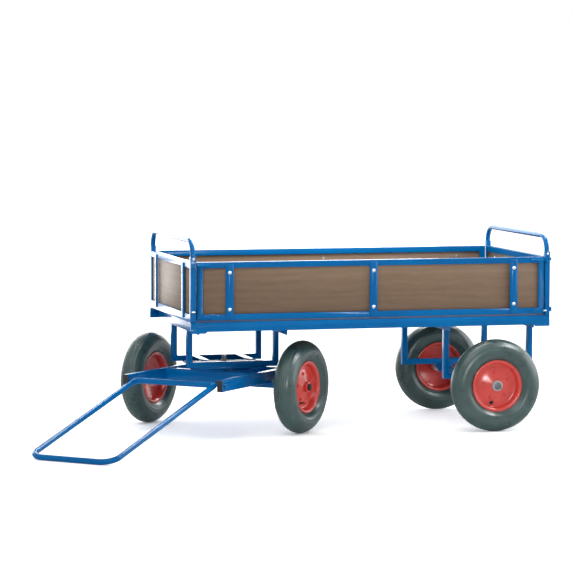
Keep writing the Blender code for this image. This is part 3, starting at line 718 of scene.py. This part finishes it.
hub_section = [
    (11.4, 37.4),
    (20.5, 37.4),
    (21.7, 36.6),
    (22.0, 35.4),
    (22.0, -35.4),
    (21.0, -37.4),
    (11.4, -37.4),
]
rim_mesh = spun("rim_form", rim_section(), 80)
hub_mesh = spun("hub_form", hub_section, 48)
for wheel in wheels:
    turn = stand(wheel)
    node = wheel.replace("wheel_", "rim_")
    rim = rim_mesh.copy()
    rim.transform(turn)
    keep(f"{node}_pressed", rim, red_enamel, wheel, [node])
    hub = hub_mesh.copy()
    hub.transform(turn)
    finish = (red_enamel, "red_paint") if "front" in wheel else (hub_grey, "zinc_steel")
    keep(f"{wheel}_hub", hub, finish[0], wheel, ())
print("rims and hubs:", len(wheels))

# %% [markdown]
# ## Repeated hardware by Geometry Nodes
#
# Bolts repeat by rule, so a node tree places them: it takes a mesh whose points are the bolt
# places, puts a copy of one bolt on each, turned to a given direction, makes the copies real and
# gives them a material. Making every bolt by hand would work as well, but a tree with named inputs
# can be aimed at any set of points.

# %% A tree that puts a part on each point
def part_on_points():
    tree = bpy.data.node_groups.new("part_on_points", "GeometryNodeTree")
    for label, kind in (
        ("Geometry", "NodeSocketGeometry"),
        ("Part", "NodeSocketObject"),
        ("Turn", "NodeSocketRotation"),
        ("Finish", "NodeSocketMaterial"),
    ):
        tree.interface.new_socket(label, in_out="INPUT", socket_type=kind)
    tree.interface.new_socket("Geometry", in_out="OUTPUT", socket_type="NodeSocketGeometry")
    given = add(tree, "NodeGroupInput").outputs
    chosen = {"Object": given["Part"]}
    part = add(tree, "GeometryNodeObjectInfo", chosen, transform_space="ORIGINAL")
    spots = {"Points": given["Geometry"], "Rotation": given["Turn"]}
    spots["Instance"] = part.outputs["Geometry"]
    copies = add(tree, "GeometryNodeInstanceOnPoints", spots)
    real = add(tree, "GeometryNodeRealizeInstances", {"Geometry": copies.outputs["Instances"]})
    finish = {"Geometry": real.outputs["Geometry"], "Material": given["Finish"]}
    done = add(tree, "GeometryNodeSetMaterial", finish)
    add(tree, "NodeGroupOutput", {"Geometry": done.outputs["Geometry"]})
    return tree


on_points = part_on_points()
tree_items = on_points.interface.items_tree
sockets = {item.name: item.identifier for item in tree_items if item.in_out == "INPUT"}


def placed_copies(name, part_mesh, points, turn, material):
    """One plain mesh of a part repeated on points, turned by an Euler rotation."""
    part = bpy.data.objects.new("part_to_copy", part_mesh)
    bpy.context.scene.collection.objects.link(part)
    cloud = bpy.data.meshes.new("places")
    cloud.from_pydata([tuple(p) for p in points], [], [])
    holder = bpy.data.objects.new("places", cloud)
    bpy.context.scene.collection.objects.link(holder)
    nodes_mod = holder.modifiers.new("copies", "NODES")
    nodes_mod.node_group = on_points
    nodes_mod[sockets["Part"]] = part
    nodes_mod[sockets["Turn"]] = turn
    nodes_mod[sockets["Finish"]] = material
    bpy.context.view_layer.update()
    mesh = evaluated_mesh(holder, name)
    holder.modifiers.remove(nodes_mod)
    for helper in (holder, part):
        bpy.data.objects.remove(helper, do_unlink=True)
    return mesh


print("inputs:", sorted(sockets))

# %% [markdown]
# ## Strap bolts
#
# Each strap is bolted through the board at the top and at the bottom. The heads are low, round
# carriage-bolt heads, zinc plated, about 16 mm over. They stand on the strap's outer face, and a
# nut with the bolt's end sits on the board's inner face. One head and one nut are each turned from
# a small section, and the tree repeats them.

# %% Carriage-bolt heads on the straps
HEAD_TOP_Z = 0.707
HEAD_LOW_Z = 0.552
SIDE_STRAPS = (-0.633, 0.0, 0.633)
END_STRAPS = (-0.262, 0.262)
HEAD_SINK = 0.0001
head_section = [
    (0.0, 3.6),
    (2.5, 3.5),
    (4.8, 2.9),
    (6.6, 1.9),
    (7.8, 0.6),
    (7.8, -0.4),
    (0.0, -0.4),
]
head_mesh = spun("carriage_head", head_section, 20, closed=False)
strap_nut_section = [
    (0.0, 8.0),
    (2.6, 8.0),
    (3.0, 7.2),
    (3.0, 6.2),
    (6.0, 6.1),
    (6.8, 5.2),
    (6.8, -0.3),
    (0.0, -0.3),
]
strap_nut = spun("strap_nut", strap_nut_section, 6, closed=False, smooth_angle=25.0)


def facing(direction):
    """Euler angles that turn local Z to a direction."""
    return Vector(direction).to_track_quat("Z", "Y").to_euler()


def strap_heads(label, body, direction, places):
    mesh = placed_copies(f"strap_heads_{label}", head_mesh, places, facing(direction), zinc)
    return keep(f"strap_bolts_{label}", mesh, None, body, ())


def inner_nuts(label, body, direction, places):
    mesh = placed_copies(f"strap_nut_copies_{label}", strap_nut, places, facing(direction), zinc)
    return keep(f"strap_nuts_{label}", mesh, None, body, ())


heights = (HEAD_TOP_Z, HEAD_LOW_Z)
for label, sign in (("left", 1), ("right", -1)):
    low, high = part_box(f"side_frame_{label}")
    face_y = (high[1] if sign > 0 else low[1]) - sign * HEAD_SINK
    places = [(deck_middle.x + x, face_y, z) for x in SIDE_STRAPS for z in heights]
    strap_heads(label, f"side_{label}", (0, sign, 0), places)
    low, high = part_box(f"side_board_{label}")
    inner_y = low[1] if sign > 0 else high[1]
    places = [(deck_middle.x + x, inner_y, z) for x in SIDE_STRAPS for z in heights]
    inner_nuts(label, f"side_{label}", (0, -sign, 0), places)
for label, sign in (("front", 1), ("rear", -1)):
    low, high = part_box(f"end_frame_{label}")
    face_x = (high[0] if sign > 0 else low[0]) - sign * HEAD_SINK
    places = [(face_x, deck_middle.y + y, z) for y in END_STRAPS for z in heights]
    strap_heads(label, "chassis", (sign, 0, 0), places)
    low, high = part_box(f"end_board_{label}")
    inner_x = low[0] if sign > 0 else high[0]
    places = [(inner_x, deck_middle.y + y, z) for y in END_STRAPS for z in heights]
    inner_nuts(label, "chassis", (-sign, 0, 0), places)
print("strap bolts:", 2 * len(SIDE_STRAPS) * 2 + 2 * len(END_STRAPS) * 2)

# %% [markdown]
# ## Rim bolts and valve stems
#
# The two rim halves are clamped by five small bolts on a circle round the hub, sprayed over with
# the rim. A rubber valve stem leans out of the disc, and on each wheel it stopped somewhere else.

# %% Hardware on the wheels
RIM_BOLTS = 5
BOLT_CIRCLE = 0.057
BOLT_FACE = 0.0126  # height of the disc's face there over the wheel's middle plane
STEM_PLACE = (0.078, 0, 0.008)
STEM_LEAN = -18  # degrees
nut_section = [
    (0.0, 6.0),
    (3.4, 6.0),
    (4.0, 5.4),
    (4.2, 4.0),
    (7.0, 3.9),
    (7.4, 3.2),
    (7.4, -0.3),
    (0.0, -0.3),
]
nut_mesh = spun("rim_nut", nut_section, 6, closed=False, smooth_angle=25.0)
stem_section = [
    (0.0, 26.0),
    (2.6, 26.0),
    (2.9, 24.8),
    (2.9, 18.5),
    (3.9, 17.0),
    (4.2, 10.0),
    (5.4, 4.0),
    (7.6, 1.2),
    (7.6, -1.5),
    (0.0, -1.5),
]
stem_mesh = spun("valve_stem", stem_section, 18, closed=False)
stem_angles = {
    "wheel_front_left": 243,
    "wheel_rear_left": 255,
    "wheel_front_right": 40,
    "wheel_rear_right": 130,
}
for wheel in wheels:
    turn = stand(wheel)
    circle = [
        turn @ Vector((BOLT_CIRCLE * math.cos(a), BOLT_CIRCLE * math.sin(a), BOLT_FACE))
        for a in (math.tau * (i + 0.35) / RIM_BOLTS for i in range(RIM_BOLTS))
    ]
    outward = turn.to_3x3() @ Vector((0, 0, 1))
    mesh = placed_copies(f"{wheel}_nuts", nut_mesh, circle, facing(outward), red_enamel)
    keep(f"{wheel}_rim_nuts", mesh, None, wheel, ())
    stem = stem_mesh.copy()
    lean = Matrix.Rotation(math.radians(STEM_LEAN), 4, "Y")
    around = Matrix.Rotation(math.radians(stem_angles[wheel]), 4, "Z")
    spot = around @ Matrix.Translation(STEM_PLACE) @ lean
    stem.transform(turn @ spot)
    keep(f"{wheel}_valve_stem", stem, valve_rubber, wheel, ())
print("wheel hardware on", len(wheels), "wheels")

# %% [markdown]
# ## Weld beads
#
# Where two sections meet, a weld leaves a bead like a row of scales. A bead is a chain of flattened
# drops along a line. The tree from the bolts repeats one drop on evenly spaced points, and the coat
# covers it all.

# %% Weld beads on the legs
def drop(size_mm):
    """One flattened drop of weld metal."""
    shape = bmesh.new()
    bmesh.ops.create_icosphere(shape, subdivisions=1, radius=size_mm / 1000)
    mesh = mesh_from(shape, "weld_drop")
    mesh.shade_smooth()
    return mesh


LEG_TUBE = 0.025
WELD_INSET = 0.0006  # how far the bead's middle lies inside the tube's outer face
weld_drop = drop(1.7)


def bead_points(start, end, pitch=0.0022):
    start, end = Vector(start), Vector(end)
    count = max(2, int((end - start).length / pitch) + 1)
    return [start.lerp(end, i / (count - 1)) for i in range(count)]


def weld(name, body, runs):
    points = [p for start, end in runs for p in bead_points(start, end)]
    mesh = placed_copies(name, weld_drop, points, (0, 0, 0), blue_coat)
    return keep(name, mesh, None, body, ())


for group in ("front", "rear"):
    for label in ("left", "right"):
        low, high = (Vector(c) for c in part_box(f"{group}_support_{label}"))
        low_y, high_y = low.y + WELD_INSET, high.y - WELD_INSET
        legs = (
            (low.x + WELD_INSET, low.x + LEG_TUBE - WELD_INSET),
            (high.x - LEG_TUBE + WELD_INSET, high.x - WELD_INSET),
        )
        across = [((x, low_y, high.z), (x, high_y, high.z)) for leg in legs for x in leg]
        along = [((a, y, high.z), (b, y, high.z)) for y in (low_y, high_y) for a, b in legs]
        weld(f"weld_{group}_support_{label}", "chassis", across + along)
print("welds made")

# %% [markdown]
# ## Small fittings on the posts
#
# Each hoop is held in its post by one bolt that shows on the post's outer side. It is a low head
# again, a little smaller. Short round rods on the side panels' rails lock them to the catches.
# Where such a rod slides the paint is gone, and its tip shines. The rods, tips and catch bolts are
# swept like tubes.

# %% Hoop bolts
HOOP_BOLT_Y, HOOP_BOLT_Z = 0.3999, 0.766
small_section = [(0.0, 3.2), (2.0, 3.1), (4.2, 2.4), (5.6, 1.0), (5.8, -0.4), (0.0, -0.4)]
small_head = spun("small_head", small_section, 16, closed=False)


def hoop_bolts(label, sign):
    places = []
    for end in ("front", "rear"):
        low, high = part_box(f"hoop_{end}")
        places.append(((low[0] + high[0]) / 2, deck_middle.y + sign * HOOP_BOLT_Y, HOOP_BOLT_Z))
    mesh = placed_copies(f"hoop_heads_{label}", small_head, places, facing((0, sign, 0)), zinc)
    keep(f"hoop_bolts_{label}", mesh, None, "chassis", ())


print("small head:", len(small_head.polygons), "faces")

# %% Locking rods and catch bolts
ROD_FROM, ROD_TO, ROD_Y = 0.712, 0.769, 0.4045
ROD_LOW_Z, ROD_TOP_Z = 0.520, 0.740
ROD_RADIUS = 0.0038
TIP_END = 0.7825  # a bare, bright tip on the lower rear rod, up to the catch
TIP_RADIUS = 0.0042
CATCH_BOLT, CATCH_BOLT_Z = (0.7820, 0.7980), 0.5440  # a bright bolt on the front post
for label, sign in (("left", 1), ("right", -1)):
    hoop_bolts(label, sign)
    rods = bmesh.new()
    for end in (1, -1):
        for z in (ROD_LOW_Z, ROD_TOP_Z):
            line = [deck_point(end * x, sign * ROD_Y, z) for x in (ROD_FROM, ROD_TO)]
            rod = swept_tube("locking_rod", line, ROD_RADIUS, False)
            rods.from_mesh(rod)
            bpy.data.meshes.remove(rod)
    rod_mesh = smooth(mesh_from(rods, f"locking_rods_{label}"))
    keep(f"locking_rods_{label}", rod_mesh, blue_coat, f"side_{label}", ())
    for name, ends, z, body in (
        ("locking_rod_tip", (-ROD_TO, -TIP_END), ROD_LOW_Z, f"side_{label}"),
        ("catch_bolt", CATCH_BOLT, CATCH_BOLT_Z, "chassis"),
    ):
        line = [deck_point(x, sign * ROD_Y, z) for x in ends]
        tip_mesh = swept_tube(f"{name}_{label}", line, TIP_RADIUS, False)
        keep(f"{name}_{label}", tip_mesh, zinc, body, ())
print("hoop bolts and rods made")

# %% [markdown]
# ## Ends of the catches
#
# At the rear each catch goes round its corner post and ends behind it in a small block, which
# shows only past the post's edge. The two blocks at a post, the lower one larger, are cubes scaled
# to size whose edges are then bevelled.

# %% Blocks behind the posts
CATCH_ENDS = ((0.5255, 0.019, 0.0095), (0.7435, 0.013, 0.0070))  # middle, height, reach
STRAP_PROUD = 0.005  # how far the straps stand out from the post's face
BLOCK_DEPTH = 0.014
BLOCK_SINK = 0.0005
BLOCK_OUTER_Y = 0.3995
BLOCK_EDGE = 0.001
for label, sign in (("left", 1), ("right", -1)):
    blocks = bmesh.new()
    post_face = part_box("end_frame_rear")[0][0] + STRAP_PROUD
    for z, height, proud in CATCH_ENDS:
        middle_x = post_face - (proud - BLOCK_SINK) / 2
        middle_y = deck_middle.y + sign * (BLOCK_OUTER_Y - BLOCK_DEPTH / 2)
        size = Matrix.Diagonal((proud + BLOCK_SINK, BLOCK_DEPTH, height, 1.0))
        at = Matrix.Translation((middle_x, middle_y, z))
        bmesh.ops.create_cube(blocks, size=1.0, matrix=at @ size)
    edges = blocks.edges[:]
    bmesh.ops.bevel(
        blocks, geom=edges, offset=BLOCK_EDGE, segments=2, profile=0.5, affect="EDGES"
    )
    block_mesh = smooth(mesh_from(blocks, f"catch_ends_{label}"))
    keep(f"catch_ends_{label}", block_mesh, blue_coat, "chassis", ())
print("catch ends made")

# %% [markdown]
# ## Studio
#
# The trolley stands on a plain white sweep. To the camera's own rays the paper is lifted, so that
# open floor is white and the shadow under the trolley stays, and a little way off it is plain
# white. Metal mirrors the same white: the Light Path node tells these rays from those that light.
# The light itself is plain and soft: a pale room, one large panel above and in front, one behind,
# and weaker ones over the deck and at the rear.

# %% Floor and room
def white_rays(tree):
    """1 for the rays by which the camera sees something, straight or in metal or through glass."""
    path = add(tree, "ShaderNodeLightPath").outputs
    mirrored = {0: path["Is Camera Ray"], 1: path["Is Glossy Ray"]}
    either = add(tree, "ShaderNodeMath", mirrored, operation="MAXIMUM").outputs[0]
    both = {0: either, 1: path["Is Transmission Ray"]}
    return add(tree, "ShaderNodeMath", both, operation="MAXIMUM").outputs[0]


FLOOR_HALF = 30.0
PAPER_GAIN = 1.75
WHITE_GAIN = 1.6
WHITE_NEAR = 0.05  # share of plain white under the trolley
PAPER_ENDS, WHITE_STARTS = 1.0, 2.2  # metres from the middle, between which the white takes over


def studio_floor():
    shape = bmesh.new()
    bmesh.ops.create_grid(shape, x_segments=1, y_segments=1, size=FLOOR_HALF)
    mesh = mesh_from(shape, "studio_floor")
    made = bpy.data.objects.new("studio_floor", mesh)
    bpy.context.scene.collection.objects.link(made)
    material = bpy.data.materials.new("white_sweep")
    material.use_nodes = True
    tree = material.node_tree
    tree.nodes.clear()
    seen = white_rays(tree)
    straight = add(tree, "ShaderNodeLightPath").outputs["Is Camera Ray"]
    strength = spread(tree, straight, 0.0, 1.0, 1.0, WHITE_GAIN)
    place = add(tree, "ShaderNodeTexCoord").outputs["Object"]
    away = add(tree, "ShaderNodeVectorMath", {0: place}, operation="LENGTH").outputs["Value"]
    near = spread(tree, away, PAPER_ENDS, WHITE_STARTS, WHITE_NEAR, 1.0)
    share = add(tree, "ShaderNodeMath", {0: seen, 1: near}, operation="MULTIPLY").outputs[0]
    gain = spread(tree, straight, 0.0, 1.0, 1.0, PAPER_GAIN)
    lifted = {0: linear("#f4f5f6")[:3], "Scale": gain}
    lifted = add(tree, "ShaderNodeVectorMath", lifted, operation="SCALE").outputs["Vector"]
    paper = add(tree, "ShaderNodeBsdfDiffuse", {"Color": lifted}).outputs[0]
    glow = {"Color": (1, 1, 1, 1), "Strength": strength}
    white = add(tree, "ShaderNodeEmission", glow).outputs[0]
    mixed = add(tree, "ShaderNodeMixShader", {0: share, 1: paper, 2: white}).outputs[0]
    add(tree, "ShaderNodeOutputMaterial", {"Surface": mixed})
    mesh.materials.append(material)
    return made


def studio_room(strength):
    world = bpy.data.worlds.new("white_room")
    bpy.context.scene.world = world
    world.use_nodes = True
    tree = world.node_tree
    tree.nodes.clear()
    light, white = (
        add(tree, "ShaderNodeBackground", {"Color": (1, 1, 1, 1), "Strength": power}).outputs[0]
        for power in (strength, 1.0)
    )
    mixed = add(tree, "ShaderNodeMixShader", {0: white_rays(tree), 1: light, 2: white}).outputs[0]
    add(tree, "ShaderNodeOutputWorld", {"Surface": mixed})
    return world


ROOM_LIGHT = 0.45
studio_floor()
studio_room(ROOM_LIGHT)
print("room made")

# %% [markdown]
# ## Lamps
#
# Soft boxes are area lamps. Three more give gloss only: they are switched off for diffuse rays, so
# that they show as pale streaks in the coat of the faces that turn away from the camera, as the
# white walls of a photo studio do, and leave the level of the light alone.

# %% Panels of light
def light_panel(name, place, target, width, height, watts, spread_degrees=180):
    data = bpy.data.lights.new(name, "AREA")
    data.shape = "RECTANGLE"
    data.size = width
    data.size_y = height
    data.energy = watts
    data.spread = math.radians(spread_degrees)
    made = bpy.data.objects.new(name, data)
    bpy.context.scene.collection.objects.link(made)
    made.location = place
    made.rotation_euler = (Vector(target) - Vector(place)).to_track_quat("-Z", "Y").to_euler()
    made.visible_camera = False
    return made


over_deck, on_deck = deck_point(0.0, 0.25, 2.0), deck_point(0.0, 0.0, 0.5)
for name, place, target, width, height, watts, spread_degrees in (
    ("panel_above", (1.5, 3.0, 4.0), (0, 0, 0.4), 3.0, 3.0, 75, 180),
    ("panel_behind", (0.6, -3.6, 1.3), (0.6, 0, 1.0), 5.0, 2.6, 160, 180),
    ("panel_over_deck", over_deck, on_deck, 1.4, 0.5, 11, 80),
    ("panel_rear", (-3.6, -0.9, 1.3), (0.3, 0.0, 0.4), 2.4, 2.0, 40, 180),
    ("panel_side", (-3.8, 1.2, 1.0), (0.0, 0.1, 0.25), 1.5, 1.5, 30, 180),
):
    light_panel(name, place, target, width, height, watts, spread_degrees)
for name, place, target, width, height, watts in (
    ("gloss_panel_rear", (-1.6, -1.55, 2.9), (0.6, 0.4, 0.1), 3.0, 2.0, 420),
    ("gloss_panel_high", (-3.0, 1.16, 2.9), (-0.9, 0.1, 0.3), 1.5, 1.0, 100),
    ("gloss_panel_near", (-0.4, 6.0, 1.3), (-0.9, 0.1, 0.2), 0.8, 0.8, 80),
):
    light_panel(name, place, target, width, height, watts).visible_diffuse = False
print("lamps:", len(bpy.data.lights))

# %% [markdown]
# ## Camera
#
# The camera stands nearly 12 m off on the near side, a little forward of the middle, at a height of
# 1.57 m, with a long lens. Place, direction and lens were found by fitting the model's corners to
# the photograph. A focal length in pixels becomes millimetres by the width of frame and sensor.

# %% Camera at the photograph's angle
CAMERA_PLACE = deck_point(3.4425, 11.6974, 1.5689)
LOOKING = Vector((-0.25744, -0.96310, -0.07852)).normalized()
ROLL = 0.0024  # radians
FOCAL_PIXELS = 2774.76
FRAME_PIXELS = 572
SENSOR_MM = 36.0
SHIFT_X = 0.01437


def photo_camera():
    data = bpy.data.cameras.new("photo_camera")
    made = bpy.data.objects.new("photo_camera", data)
    bpy.context.scene.collection.objects.link(made)
    right = LOOKING.cross(Vector((0, 0, 1))).normalized()
    up = right.cross(LOOKING)
    right_rolled = right * math.cos(ROLL) + up * math.sin(ROLL)
    up_rolled = up * math.cos(ROLL) - right * math.sin(ROLL)
    turn = Matrix((right_rolled, up_rolled, -LOOKING)).transposed()
    made.matrix_world = Matrix.Translation(CAMERA_PLACE) @ turn.to_4x4()
    data.sensor_width = SENSOR_MM
    data.lens = FOCAL_PIXELS / FRAME_PIXELS * SENSOR_MM
    data.shift_x = SHIFT_X
    data.clip_end = 100.0
    bpy.context.scene.camera = made
    return made


camera = photo_camera()
bpy.context.scene.view_settings.view_transform = "Standard"
print("lens:", round(camera.data.lens, 2), "mm")
